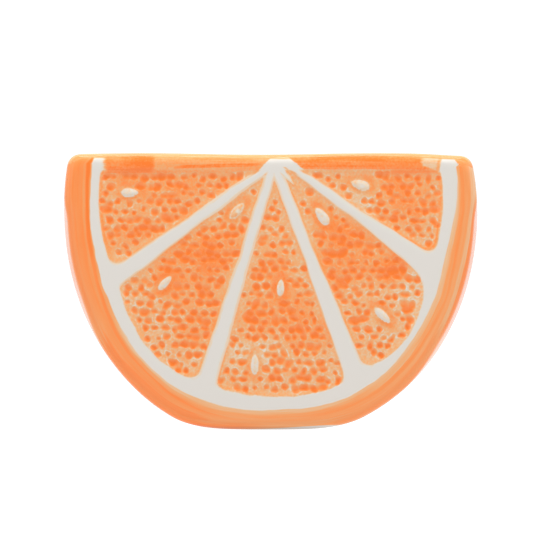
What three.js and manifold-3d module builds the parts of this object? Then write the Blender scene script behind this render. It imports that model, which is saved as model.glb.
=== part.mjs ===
// A glazed ceramic ornament in the form of half an orange slice, standing on the flat it has
// at the foot of its rind, cut edge up. One slip-cast body: both faces carry the same five
// sunk segments of pulp, pricked all over with small round pits, with raised seeds among them.
// Millimetres, +Z up, +X to the right, front face towards -Y, origin at the middle of the foot.
import * as THREE from "three";
import { mergeVertices } from "three/addons/utils/BufferGeometryUtils.js";
import Module from "manifold-3d";

// ---- The whole body ----
const WIDTH = 150;
const HEIGHT = 99.5;
const DEPTH = 55;
// The rind's outline, a superellipse that is widest at its centre and runs on below the foot.
const RIND = { x: 0, z: 79.5, halfWidth: WIDTH / 2, halfHeight: 84, squareness: 2.08 };
const FOOT_LEAN = 1.5; // the hand-finished foot sits this much to the left
const FOOT_LEAN_TOP = 28; // and the rind leans over to it from this height down
const CORNER_BLEND = 4.5; // softness where the rind meets the top and the foot
const EDGE_ROUND = 3.5; // radius along the edge of each face
const WALL_BULGE = 0.6; // the wall is fuller at mid-depth than at its faces
const BELLY = 1.8; // and by this share fuller still at the sides, between these heights
const BELLY_TOP = { none: 84, full: 74 };
const BELLY_FOOT = { none: 20, full: 40 };

// ---- The segments, seen from the front ----
const CORE_X = 1.8;
const CORE_Z = 96.8;
const PULP = { x: 0.7, z: 100.2, halfWidth: 62.1, halfHeight: 88.2, squareness: 2.56 };
const STRIP_Z = 93.8; // lower edge of the plain strip along the top
const STRIP_CORNER = 2; // softness of a segment's corners at the strip
const SMALLEST_CORNER = 0.8; // and of its tip beside the core
const PANEL_MIDDLE = 42; // how far from the core the middle of a segment is taken
const PANEL_SINK = 0.9;
const PANEL_OVERCUT = 1; // the cut for a segment starts this far in front of the face
const PANEL_WALL_SLOPE = 1.4; // run of a segment's side wall for each millimetre of depth
// Each membrane's direction, in degrees down from the left, how far to the right of the core's
// middle it starts, its width there and its flare.
const MEMBRANES = [
  { angle: 36, start: 0.4, width: 1.6, flare: 0.054 },
  { angle: 73, start: -0.5, width: 1.9, flare: 0.043 },
  { angle: 111, start: -1, width: 2, flare: 0.05 },
  { angle: 144, start: 2.6, width: 0.6, flare: 0.093 },
];
// How far each segment stops short of the outline round the pulp in its middle, how much
// further it is drawn in at its two ends, and how soft its two outer corners are.
const SEGMENTS = [
  { inset: -1.1, bow: 2, corners: [3, 5.5] },
  { inset: -0.2, bow: 1.6, corners: [1, 5] },
  { inset: -0.2, bow: 1.9, corners: [3, 4.5] },
  { inset: -0.7, bow: 4, corners: [4.4, 6] },
  { inset: 0.2, bow: 2.3, corners: [5, 3] },
];

// ---- Pits and seeds ----
const PIT_SPACING = 3.6;
const PIT_JITTER = 0.5;
const PIT_DEPTH = 0.7;
const PIT_MARGIN = 2.3; // a pit's centre stays this far inside its segment
const PIT_LID = 0.6; // height of the cut for the pits above the floor they are sunk in
const SEED_CLEARANCE = 1.5; // and this far from the edge of a seed
const SEED_RISE = 0.8;
const SEED_MERGE = 1e-4;
// Each seed's middle, length, width and turn in degrees, rising to the right.
const SEEDS = [
  { x: -50.7, z: 85.2, length: 6.4, width: 3.2, turn: 0 },
  { x: -12.2, z: 78.6, length: 7.4, width: 3.2, turn: 48 },
  { x: -38.1, z: 52.7, length: 6.8, width: 2.7, turn: 47 },
  { x: 3.5, z: 51, length: 6.2, width: 2.7, turn: 86 },
  { x: -5.8, z: 23.4, length: 7.5, width: 2.8, turn: 89 },
  { x: 18.4, z: 76.7, length: 7.5, width: 3.6, turn: -54 },
  { x: 32.2, z: 88, length: 7, width: 3.6, turn: -17 },
  { x: 40, z: 41.2, length: 7.7, width: 2.9, turn: -44 },
];

// ---- Fineness of the faceted solid ----
const STRIDE = 12; // longest step along an outline
const BODY_TURN = THREE.MathUtils.degToRad(14); // largest change of direction in one step
const PANEL_TURN = THREE.MathUtils.degToRad(27);
const EDGE_STEPS = 3;
const WALL_STEPS = 4;
const SEED_AROUND = 9;
const SEED_RINGS = 5;
const SCAN_STEPS = 1440; // angles tried when an outline is spaced out
const HALVINGS = 40; // how often a radius is narrowed down
const TINY = 1e-9; // keeps a division off nought

const FACE_Y = DEPTH / 2;
// The directions, in degrees down from the left, between which the segments lie.
const BORDERS = [0, ...MEMBRANES.map((membrane) => membrane.angle), 180];

const glaze = new THREE.MeshStandardMaterial({
  name: "orange glaze over cream ceramic",
  color: new THREE.Color(0.93, 0.5, 0.22),
  roughness: 0.18,
  metalness: 0,
  flatShading: true,
});

// Maximum of two distances with the crease between them rounded over the length blend.
function softMax(a, b, blend) {
  const overlap = Math.max(blend - Math.abs(a - b), 0);
  return Math.max(a, b) + (overlap * overlap) / (4 * blend);
}

// Signed distance, negative inside, from a superellipse.
function superellipseDistance(outline, x, z) {
  const n = outline.squareness;
  const u = Math.abs(x - outline.x) / outline.halfWidth;
  const v = Math.abs(z - outline.z) / outline.halfHeight;
  const reach = (u ** n + v ** n) ** (1 / n) + TINY;
  const steepX = (u / reach) ** (n - 1) / outline.halfWidth;
  const steepZ = (v / reach) ** (n - 1) / outline.halfHeight;
  return (reach - 1) / (Math.hypot(steepX, steepZ) + TINY);
}

// How fully the sides belly out at a height, rising smoothly from 0 to 1.
function bellyAt(z) {
  const rise = ({ none, full }) => {
    const share = Math.min(Math.max((z - none) / (full - none), 0), 1);
    return share * share * (3 - 2 * share);
  };
  return rise(BELLY_TOP) * rise(BELLY_FOOT);
}

// Signed distance from the body's outline, with the rind drawn in by bulge and all by edge.
function bodyDistance(x, z, bulge, edge) {
  const lean = FOOT_LEAN * Math.max(0, 1 - z / FOOT_LEAN_TOP) ** 2;
  const rind = superellipseDistance(RIND, x + lean, z) + bulge * (1 + BELLY * bellyAt(z)) + edge;
  const underTop = softMax(rind, z - HEIGHT + edge, CORNER_BLEND);
  return softMax(underTop, -z + edge, CORNER_BLEND);
}

// How far a point lies past a membrane's middle line, and the membrane's half width there.
function acrossMembrane(membrane, x, z) {
  const angle = THREE.MathUtils.degToRad(membrane.angle);
  const dx = x - CORE_X - membrane.start;
  const dz = z - CORE_Z;
  const along = -dx * Math.cos(angle) - dz * Math.sin(angle);
  const across = dx * Math.sin(angle) - dz * Math.cos(angle);
  const halfWidth = (membrane.width + membrane.flare * Math.max(along, 0)) / 2;
  return { across, halfWidth };
}

// Signed distance, negative inside, from the outline of segment number index, 0 to 4.
function panelDistance(index, x, z) {
  const { inset, bow, corners } = SEGMENTS[index];
  const direction = THREE.MathUtils.radToDeg(Math.atan2(CORE_Z - z, CORE_X - x));
  const span = BORDERS[index + 1] - BORDERS[index];
  const off = THREE.MathUtils.clamp((2 * (direction - BORDERS[index])) / span - 1, -1, 1);
  const arc = superellipseDistance(PULP, x, z) + inset + bow * off ** 2;
  const share = Math.min(Math.hypot(x - CORE_X, z - CORE_Z) / PANEL_MIDDLE, 1);
  const blends = corners.map((corner) => Math.max(corner * share, SMALLEST_CORNER));
  let distance = softMax(arc, z - STRIP_Z, STRIP_CORNER);
  if (index > 0) {
    const before = acrossMembrane(MEMBRANES[index - 1], x, z);
    distance = softMax(distance, before.halfWidth - before.across, blends[0]);
  }
  if (index < MEMBRANES.length) {
    const after = acrossMembrane(MEMBRANES[index], x, z);
    distance = softMax(distance, after.halfWidth + after.across, blends[1]);
  }
  return distance;
}

// Distance of a point from the edge of a seed, negative on it.
function seedDistance(seed, x, z) {
  const turn = THREE.MathUtils.degToRad(seed.turn);
  const dx = x - seed.x;
  const dz = z - seed.z;
  const along = (dx * Math.cos(turn) + dz * Math.sin(turn)) / (seed.length / 2);
  const across = (dz * Math.cos(turn) - dx * Math.sin(turn)) / (seed.width / 2);
  return ((Math.hypot(along, across) - 1) * seed.width) / 2;
}

// Radius at which a distance field seen from a middle point turns positive.
function radiusAt(field, middle, angle) {
  let inner = 0;
  let outer = WIDTH;
  for (let i = 0; i < HALVINGS; i += 1) {
    const radius = (inner + outer) / 2;
    const x = middle.x + radius * Math.cos(angle);
    const z = middle.z + radius * Math.sin(angle);
    if (field(x, z) < 0) inner = radius;
    else outer = radius;
  }
  return inner;
}

// Points where the field is nought, one for each angle round the middle.
function outlinePoints(field, middle, angles) {
  return angles.map((angle) => {
    const radius = radiusAt(field, middle, angle);
    return [middle.x + radius * Math.cos(angle), middle.z + radius * Math.sin(angle)];
  });
}

// Angles round an outline, spaced by its length and by how sharply it turns.
function spacedAngles(field, middle, largestTurn) {
  const scan = Array.from({ length: SCAN_STEPS }, (_, i) => (i / SCAN_STEPS) * 2 * Math.PI);
  const points = outlinePoints(field, middle, scan);
  const costs = points.map((point, i) => {
    const before = points[(i + SCAN_STEPS - 1) % SCAN_STEPS];
    const after = points[(i + 1) % SCAN_STEPS];
    const heading = Math.atan2(after[1] - point[1], after[0] - point[0]);
    const arriving = Math.atan2(point[1] - before[1], point[0] - before[0]);
    const turn = Math.abs(Math.atan2(Math.sin(heading - arriving), Math.cos(heading - arriving)));
    return Math.hypot(after[0] - point[0], after[1] - point[1]) / STRIDE + turn / largestTurn;
  });
  const total = costs.reduce((sum, cost) => sum + cost, 0);
  const count = Math.ceil(total);
  const angles = [];
  let spent = 0;
  scan.forEach((angle, i) => {
    if (spent * count >= angles.length * total) angles.push(angle);
    spent += costs[i];
  });
  return angles;
}

// A closed solid from a stack of rings of equal length, each a list of [x, z] at its own y,
// with y rising from ring to ring and a flat cap at both ends.
function stackedSolid(rings, middle) {
  const count = rings[0].points.length;
  const positions = rings.flatMap((ring) => ring.points.flatMap(([x, z]) => [x, ring.y, z]));
  const back = rings.length * count;
  const last = back - count;
  positions.push(middle.x, rings[0].y, middle.z, middle.x, rings.at(-1).y, middle.z);
  const triangles = [];
  for (let i = 0; i < count; i += 1) {
    const next = (i + 1) % count;
    for (let low = 0; low < last; low += count) {
      const high = low + count;
      triangles.push(low + i, high + i, low + next, low + next, high + i, high + next);
    }
    triangles.push(back, i, next, back + 1, last + next, last + i);
  }
  return { positions, triangles };
}

const wasm = await Module();
wasm.setup();

// A manifold-3d solid from plain positions and triangles.
function solid({ positions, triangles }) {
  const mesh = new wasm.Mesh({
    numProp: 3,
    vertProperties: new Float32Array(positions),
    triVerts: new Uint32Array(triangles),
  });
  return new wasm.Manifold(mesh);
}

// The same solid for the other face, mirrored front to back.
function mirrored({ positions, triangles }) {
  const back = positions.map((value, i) => (i % 3 === 1 ? -value : value));
  const turned = triangles.map((_, i) => triangles[i % 3 === 0 ? i : i % 3 === 1 ? i + 1 : i - 1]);
  return { positions: back, triangles: turned };
}

// The body without its segments: rounded along both faces and a little full in the wall.
function bodyShape() {
  const middle = { x: 0, z: HEIGHT / 2 };
  const angles = spacedAngles((x, z) => bodyDistance(x, z, 0, 0), middle, BODY_TURN);
  const levels = [];
  for (let i = 0; i <= EDGE_STEPS; i += 1) {
    const sweep = (i / EDGE_STEPS) * (Math.PI / 2);
    const edge = EDGE_ROUND * (1 - Math.sin(sweep));
    levels.push({ y: -FACE_Y + EDGE_ROUND * (1 - Math.cos(sweep)), edge, bulge: WALL_BULGE });
  }
  const wall = FACE_Y - EDGE_ROUND;
  for (let i = 1; i < WALL_STEPS; i += 1) {
    const y = -wall + (2 * wall * i) / WALL_STEPS;
    levels.push({ y, edge: 0, bulge: WALL_BULGE * (y / wall) ** 2 });
  }
  for (const level of levels.slice(0, EDGE_STEPS + 1).reverse())
    levels.push({ ...level, y: -level.y });
  const rings = levels.map(({ y, bulge, edge }) => {
    const field = (x, z) => bodyDistance(x, z, bulge, edge);
    return { y, points: outlinePoints(field, middle, angles) };
  });
  return stackedSolid(rings, middle);
}

// The space to take out of the front face for one segment, with sloping sides.
function panelShape(index) {
  const angle = THREE.MathUtils.degToRad((BORDERS[index] + BORDERS[index + 1]) / 2);
  const middle = {
    x: CORE_X - PANEL_MIDDLE * Math.cos(angle),
    z: CORE_Z - PANEL_MIDDLE * Math.sin(angle),
  };
  const angles = spacedAngles((x, z) => panelDistance(index, x, z), middle, PANEL_TURN);
  const rings = [-PANEL_OVERCUT, PANEL_SINK].map((depth) => {
    const field = (x, z) => panelDistance(index, x, z) + depth * PANEL_WALL_SLOPE;
    return { y: -FACE_Y + depth, points: outlinePoints(field, middle, angles) };
  });
  return stackedSolid(rings, middle);
}

// A repeatable number from 0 to 1 for a place in the lattice of pits.
function scatter(column, row, salt) {
  const value = Math.sin(column * 12.9898 + row * 78.233 + salt * 37.719) * 43758.5453;
  return value - Math.floor(value);
}

// The middle of a pit, moved a little off its lattice point.
function pitMiddle(column, row) {
  const shift = PIT_JITTER * 2;
  const even = (column + (Math.abs(row) % 2) / 2) * PIT_SPACING;
  return {
    x: even + (scatter(column, row, 1) - 0.5) * shift,
    z: row * PIT_SPACING * Math.sin(Math.PI / 3) + (scatter(column, row, 2) - 0.5) * shift,
  };
}

// Whether a pit has room there, inside a segment and clear of the seeds.
function hasPit({ x, z }) {
  const inside = SEGMENTS.some((_, index) => panelDistance(index, x, z) < -PIT_MARGIN);
  return inside && SEEDS.every((seed) => seedDistance(seed, x, z) > SEED_CLEARANCE);
}

// The lattice point beside another one, in one of six directions counted anticlockwise.
function beside([column, row], direction) {
  const odd = Math.abs(row) % 2;
  const steps = [
    [1, 0],
    [odd, 1],
    [odd - 1, 1],
    [-1, 0],
    [odd - 1, -1],
    [odd, -1],
  ];
  const [right, up] = steps[direction % 6];
  return [column + right, row + up];
}

// All the pits of the front face: hollows with six sides each, which meet at their rims.
// They hang below a flat lid in the open space of the segments, so that they are closed.
function pitsShape() {
  const columns = Math.ceil(WIDTH / 2 / PIT_SPACING);
  const rows = Math.ceil(HEIGHT / PIT_SPACING / Math.sin(Math.PI / 3));
  const floor = -FACE_Y + PANEL_SINK;
  const positions = [];
  const triangles = [];
  const numbers = new Map();
  const edges = new Map();

  // The number of a vertex of the relief; its twin in the lid has the next number.
  function vertex(key, x, y, z) {
    if (!numbers.has(key)) {
      numbers.set(key, positions.length / 3);
      positions.push(x, y, z, x, floor - PIT_LID, z);
    }
    return numbers.get(key);
  }

  // The point of the rim where three pits meet.
  function rim(cells) {
    const middles = cells.map(([column, row]) => pitMiddle(column, row));
    const x = middles.reduce((sum, middle) => sum + middle.x, 0) / cells.length;
    const z = middles.reduce((sum, middle) => sum + middle.z, 0) / cells.length;
    const key = cells.map((cell) => cell.join(" ")).sort().join(", ");
    return vertex(key, x, floor, z);
  }

  function addPit(cell) {
    const middle = pitMiddle(...cell);
    const bottom = vertex(cell.join(" "), middle.x, floor + PIT_DEPTH, middle.z);
    const around = [0, 1, 2, 3, 4, 5].map((direction) => beside(cell, direction));
    const rims = around.map((next, i) => rim([cell, next, around[(i + 1) % 6]]));
    rims.forEach((from, i) => {
      const to = rims[(i + 1) % 6];
      triangles.push(bottom, to, from, bottom + 1, from + 1, to + 1);
      edges.set(`${to} ${from}`, [to, from]);
    });
  }

  for (let row = 0; row <= rows; row += 1)
    for (let column = -columns; column <= columns; column += 1)
      if (hasPit(pitMiddle(column, row))) addPit([column, row]);
  for (const [from, to] of edges.values())
    if (!edges.has(`${to} ${from}`))
      triangles.push(from, from + 1, to, to, from + 1, to + 1);
  return { positions, triangles };
}

// A seed lying flat on the floor of its segment, half of it sunk in.
function seedShape(seed) {
  const geometry = new THREE.SphereGeometry(1, SEED_AROUND, SEED_RINGS);
  geometry.rotateX(Math.PI / 2);
  geometry.scale(seed.length / 2, SEED_RISE, seed.width / 2);
  geometry.rotateY(-THREE.MathUtils.degToRad(seed.turn));
  geometry.translate(seed.x, -FACE_Y + PANEL_SINK, seed.z);
  geometry.deleteAttribute("normal");
  geometry.deleteAttribute("uv");
  const merged = mergeVertices(geometry, SEED_MERGE);
  return {
    positions: Array.from(merged.attributes.position.array),
    triangles: Array.from(merged.index.array),
  };
}

// The finished body as one mesh.
function glazedSlice() {
  let slice = solid(bodyShape());
  const cuts = [...SEGMENTS.map((_, index) => panelShape(index)), pitsShape()];
  const seeds = SEEDS.map(seedShape);
  for (const side of [(shape) => shape, mirrored]) {
    for (const cut of cuts) slice = slice.subtract(solid(side(cut)));
    for (const seed of seeds) slice = slice.add(solid(side(seed)));
  }
  const mesh = slice.getMesh();
  const geometry = new THREE.BufferGeometry();
  geometry.setAttribute("position", new THREE.BufferAttribute(mesh.vertProperties, 3));
  geometry.setIndex(new THREE.BufferAttribute(mesh.triVerts, 1));
  geometry.computeVertexNormals();
  const body = new THREE.Mesh(geometry, glaze);
  body.name = "glazed_slice";
  return body;
}

const ornament = new THREE.Group();
ornament.name = "ceramic_orange_half_slice";
ornament.add(glazedSlice());

export default ornament;
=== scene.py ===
"""Half an orange slice in hand-painted, glazed ceramic, standing in a plain studio.

The slip-cast body is one mesh: a block cut into a fine grid, drawn in to the slice's outline,
with the segments, pits and seeds pressed and raised on both faces. Its paint is procedural and
follows measures kept on the mesh, such as how far a point lies inside its segment.
Lengths in the code are metres, except where a name or a docstring says millimetres. The paint's
own classes work in millimetres and degrees.
"""

from __future__ import annotations

import logging
import math
from dataclasses import dataclass, field
from enum import Enum
from typing import Iterable, Union

import bmesh
import bpy
import numpy as np
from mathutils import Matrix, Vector

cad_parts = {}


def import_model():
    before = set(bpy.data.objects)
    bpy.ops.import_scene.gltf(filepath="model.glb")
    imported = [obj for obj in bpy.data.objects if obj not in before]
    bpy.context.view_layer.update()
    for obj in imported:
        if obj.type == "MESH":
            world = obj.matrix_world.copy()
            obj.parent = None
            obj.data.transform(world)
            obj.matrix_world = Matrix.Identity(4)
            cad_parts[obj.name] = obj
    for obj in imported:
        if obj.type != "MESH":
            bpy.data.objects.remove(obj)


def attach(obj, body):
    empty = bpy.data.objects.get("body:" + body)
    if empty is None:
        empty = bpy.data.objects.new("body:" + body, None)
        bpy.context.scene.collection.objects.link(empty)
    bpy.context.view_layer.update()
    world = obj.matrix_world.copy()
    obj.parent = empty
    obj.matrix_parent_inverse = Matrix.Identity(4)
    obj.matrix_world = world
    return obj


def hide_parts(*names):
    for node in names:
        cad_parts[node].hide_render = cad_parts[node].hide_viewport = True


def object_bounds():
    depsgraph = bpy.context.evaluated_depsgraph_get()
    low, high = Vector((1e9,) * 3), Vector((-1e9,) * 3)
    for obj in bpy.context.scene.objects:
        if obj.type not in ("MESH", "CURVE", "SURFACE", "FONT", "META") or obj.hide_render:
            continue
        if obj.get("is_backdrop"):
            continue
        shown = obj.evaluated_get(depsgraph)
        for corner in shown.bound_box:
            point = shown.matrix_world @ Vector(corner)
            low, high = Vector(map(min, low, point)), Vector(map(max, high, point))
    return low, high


LOG = logging.getLogger("orange_half_slice")
MM = 0.001
PIECE = "painted_slice"
NODE = "glazed_slice"
BODY = "root"
TINY = 1e-9
WHITE = (1, 1, 1, 1)

Socket = bpy.types.NodeSocket
Value = Union[float, Socket]


def soft_max(a: np.ndarray, b: np.ndarray, blend: float) -> np.ndarray:
    """Takes the larger of two distances, with the crease between them rounded.

    Args:
        a: First distances.
        b: Second distances.
        blend: Length over which the crease is rounded.

    Returns:
        The blended distances.
    """
    overlap = np.maximum(blend - np.abs(a - b), 0)
    return np.maximum(a, b) + overlap**2 / (4 * blend)


def smooth_step(low: float, high: float, value: np.ndarray) -> np.ndarray:
    """Rises smoothly from 0 at low to 1 at high, or falls where low is above high."""
    share = np.clip((value - low) / (high - low), 0, 1)
    return share * share * (3 - 2 * share)


def hump(value: np.ndarray, middle: float, width: float) -> np.ndarray:
    """Rises to 1 at the middle and falls off to both sides over the width."""
    return np.exp(-(((value - middle) / width) ** 2))


@dataclass(frozen=True)
class Waver:
    """A slow, hand-made unevenness between about -1 and 1.

    Its length is that of its longest wave, and its phase shifts it, so that no two look alike.
    """

    length: float
    phase: float

    def at(self, u: np.ndarray, v: np.ndarray) -> np.ndarray:
        """Gives the unevenness.

        Args:
            u: First coordinate of the points.
            v: Second coordinate.

        Returns:
            The unevenness at each point.
        """
        k = 2 * math.pi / self.length
        first = np.sin(k * (u + 0.35 * v) + self.phase)
        second = np.sin(k * (1.7 * v - 0.6 * u) + 2.3 * self.phase)
        third = np.sin(k * (2.3 * u + 1.9 * v) + 4.1 * self.phase)
        return (first + 0.8 * second + 0.5 * third) / 2.3


@dataclass(frozen=True)
class Superellipse:
    """A rounded outline fuller than an ellipse."""

    centre_x: float
    centre_z: float
    half_width: float
    half_height: float
    squareness: float

    def distance(self, x: np.ndarray, z: np.ndarray) -> np.ndarray:
        """Measures points against the outline.

        Args:
            x: Places across the face.
            z: Heights.

        Returns:
            Signed distances, negative inside and true near the outline.
        """
        n = self.squareness
        u = np.abs(x - self.centre_x) / self.half_width
        v = np.abs(z - self.centre_z) / self.half_height
        reach = (u**n + v**n) ** (1 / n) + TINY
        steep_x = (u / reach) ** (n - 1) / self.half_width
        steep_z = (v / reach) ** (n - 1) / self.half_height
        return (reach - 1) / (np.hypot(steep_x, steep_z) + TINY)


@dataclass(frozen=True)
class BodyForm:
    """The body without its segments: outline, rounded edges and slightly full wall."""

    width: float
    depth: float
    height: float
    widest_z: float = 79.5 * MM
    rind_half_height: float = 84 * MM
    squareness: float = 2.08
    foot_lean: float = 1.5 * MM
    foot_lean_top: float = 28 * MM
    corner_blend: float = 4.5 * MM
    edge_round: float = 3.5 * MM
    wall_bulge: float = 0.6 * MM
    belly: float = 1.8
    belly_top: tuple[float, float] = (84 * MM, 74 * MM)
    belly_foot: tuple[float, float] = (20 * MM, 40 * MM)
    belly_skew: float = 0.12
    edge_steps: int = 5
    wall_steps: int = 14
    halvings: int = 34

    @property
    def middle(self) -> tuple[float, float, float]:
        """Middle of the body's box."""
        return (0.0, 0.0, self.height / 2)

    @property
    def rind(self) -> Superellipse:
        """Outline of the rind, which runs on below the foot."""
        return Superellipse(0.0, self.widest_z, self.width / 2, self.rind_half_height, self.squareness)

    def distance(self, x: np.ndarray, z: np.ndarray, bulge: np.ndarray, edge: np.ndarray) -> np.ndarray:
        """Measures points against the outline.

        Args:
            x: Places across the face.
            z: Heights.
            bulge: How far the rind is drawn in, more so about the belly.
            edge: How far the whole outline is drawn in.

        Returns:
            Signed distances, negative inside.
        """
        lean = self.foot_lean * np.maximum(0, 1 - z / self.foot_lean_top) ** 2
        belly = smooth_step(*self.belly_top, z) * smooth_step(*self.belly_foot, z + self.belly_skew * x)
        rind = self.rind.distance(x + lean, z) + bulge * (1 + self.belly * belly) + edge
        under_top = soft_max(rind, z - self.height + edge, self.corner_blend)
        return soft_max(under_top, -z + edge, self.corner_blend)

    def radius(self, angle: np.ndarray, bulge: np.ndarray, edge: np.ndarray) -> np.ndarray:
        """Finds the outline's radius, seen from the middle of the body, by halving.

        Args:
            angle: Directions from the middle.
            bulge: How far the rind is drawn in for each.
            edge: How far the whole outline is drawn in for each.

        Returns:
            The radii.
        """
        inner = np.full_like(angle, 0.0)
        outer = np.full_like(angle, self.width)
        for _ in range(self.halvings):
            radius = (inner + outer) / 2
            x = radius * np.cos(angle)
            z = self.middle[2] + radius * np.sin(angle)
            inside = self.distance(x, z, bulge, edge) < 0
            inner = np.where(inside, radius, inner)
            outer = np.where(inside, outer, radius)
        return inner

    @property
    def levels(self) -> int:
        """Number of steps from the front face over the wall to the back face."""
        return 2 * self.edge_steps + self.wall_steps

    def profile(self, level: np.ndarray) -> tuple[np.ndarray, np.ndarray, np.ndarray, np.ndarray]:
        """Gives the wall's cross-section from the front face's rim to the back face's rim.

        Args:
            level: Number of the step, 0 at the front.

        Returns:
            y, the bulge and edge insets there, and the length travelled over the wall.
        """
        half = np.where(level <= self.levels / 2, level, self.levels - level)
        sweep = np.minimum(half / self.edge_steps, 1) * math.pi / 2
        wall = self.depth / 2 - self.edge_round
        over = np.maximum(half - self.edge_steps, 0) / self.wall_steps * 2 * wall
        y = -self.depth / 2 + self.edge_round * (1 - np.cos(sweep)) + over
        edge = self.edge_round * (1 - np.sin(sweep))
        bulge = self.wall_bulge * np.minimum(np.abs(y) / wall, 1) ** 2
        travelled = self.edge_round * sweep + over
        side = np.where(level <= self.levels / 2, 1, -1)
        return y * side, bulge, edge, travelled


@dataclass(frozen=True)
class Membrane:
    """A white skin between two segments, running out from beside the core's middle.

    Its angle is in degrees down from the left. It widens by its flare as it runs, and is thinner
    by its neck about one place on its way.
    """

    angle: float
    start: float
    width: float
    flare: float
    neck: float = 0.0
    neck_at: float = 34 * MM
    neck_length: float = 9 * MM


@dataclass(frozen=True)
class Segment:
    """A segment's outer side: how far it is drawn in, and more so at its ends, and its corners."""

    inset: float
    bow: float
    corner_before: float
    corner_after: float


@dataclass(frozen=True)
class Seed:
    """A seed lying in its segment, turned by degrees rising to the right.

    The washed share of it is covered by a thin film of paint.
    """

    x: float
    z: float
    length: float
    width: float
    turn: float
    taper: float = 0.15
    washed: float = 0.0
    fullness: float = 1.6
    bluntness: float = 2.2

    def inside(self, x: np.ndarray, z: np.ndarray) -> np.ndarray:
        """Measures points against the seed's almond outline.

        Args:
            x: Places across the face.
            z: Heights.

        Returns:
            How far each point lies inside, negative outside.
        """
        turn = math.radians(self.turn)
        dx, dz = x - self.x, z - self.z
        along = (dx * math.cos(turn) + dz * math.sin(turn)) / (self.length / 2)
        taper = 1 - self.taper * np.clip(along, -1, 1)
        across = (dz * math.cos(turn) - dx * math.sin(turn)) / (self.width / 2 * taper)
        total = np.abs(along) ** self.bluntness + np.abs(across) ** self.fullness
        reach = total ** (2 / (self.bluntness + self.fullness))
        return (1 - reach) * self.width / 2


@dataclass(frozen=True)
class Thorn:
    """A white wedge with its point down, between two lines that meet at the point."""

    x: float
    z: float
    right_lean: float
    left_lean: float

    def inside(self, x: np.ndarray, z: np.ndarray) -> np.ndarray:
        """Measures points against the wedge.

        Args:
            x: Places across the face.
            z: Heights.

        Returns:
            How far each point lies inside, negative outside.
        """
        right = (self.right_lean * (z - self.z) - (x - self.x)) / math.hypot(1, self.right_lean)
        left = ((x - self.x) - self.left_lean * (z - self.z)) / math.hypot(1, self.left_lean)
        return np.minimum(right, left)


@dataclass(frozen=True)
class Creep:
    """A stretch, in degrees down from the left, where the rind's paint creeps over the pith."""

    turn: float
    spread: float
    amount: float


@dataclass(frozen=True)
class Gathering:
    """How thin paint gathers in a ring under each seed and along a groove inside each segment.

    The groove's line is strongest towards the upper left and right. A film lies on washed seeds.
    """

    drop: float = 0.4 * MM
    ring_at: float = -0.7 * MM
    ring_width: float = 0.75 * MM
    ring_level: float = 0.6
    ring_swing: float = 0.5
    ring_waver: Waver = Waver(11 * MM, 1.3)
    groove_at: float = 1.0 * MM
    groove_width: float = 0.42 * MM
    groove_level: float = 0.25
    groove_swing: float = 0.35
    groove_waver: Waver = Waver(43 * MM, 3.1)
    side_level: float = 0.55
    side_x: tuple[float, float] = (44 * MM, 52 * MM)
    side_z: tuple[float, float] = (58 * MM, 68 * MM)
    film_edge: tuple[float, float] = (0.0, 0.6 * MM)
    film_waver: Waver = Waver(6 * MM, 0.7)


@dataclass(frozen=True)
class DryBrush:
    """Where the brush ran dry: near the segments' outer sides, and only low down."""

    ends: tuple[float, float] = (-6 * MM, -1.5 * MM)
    low: tuple[float, float] = (50 * MM, 32 * MM)
    level: float = 0.65
    swing: float = 0.6
    waver: Waver = Waver(37 * MM, 2.6)


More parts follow.
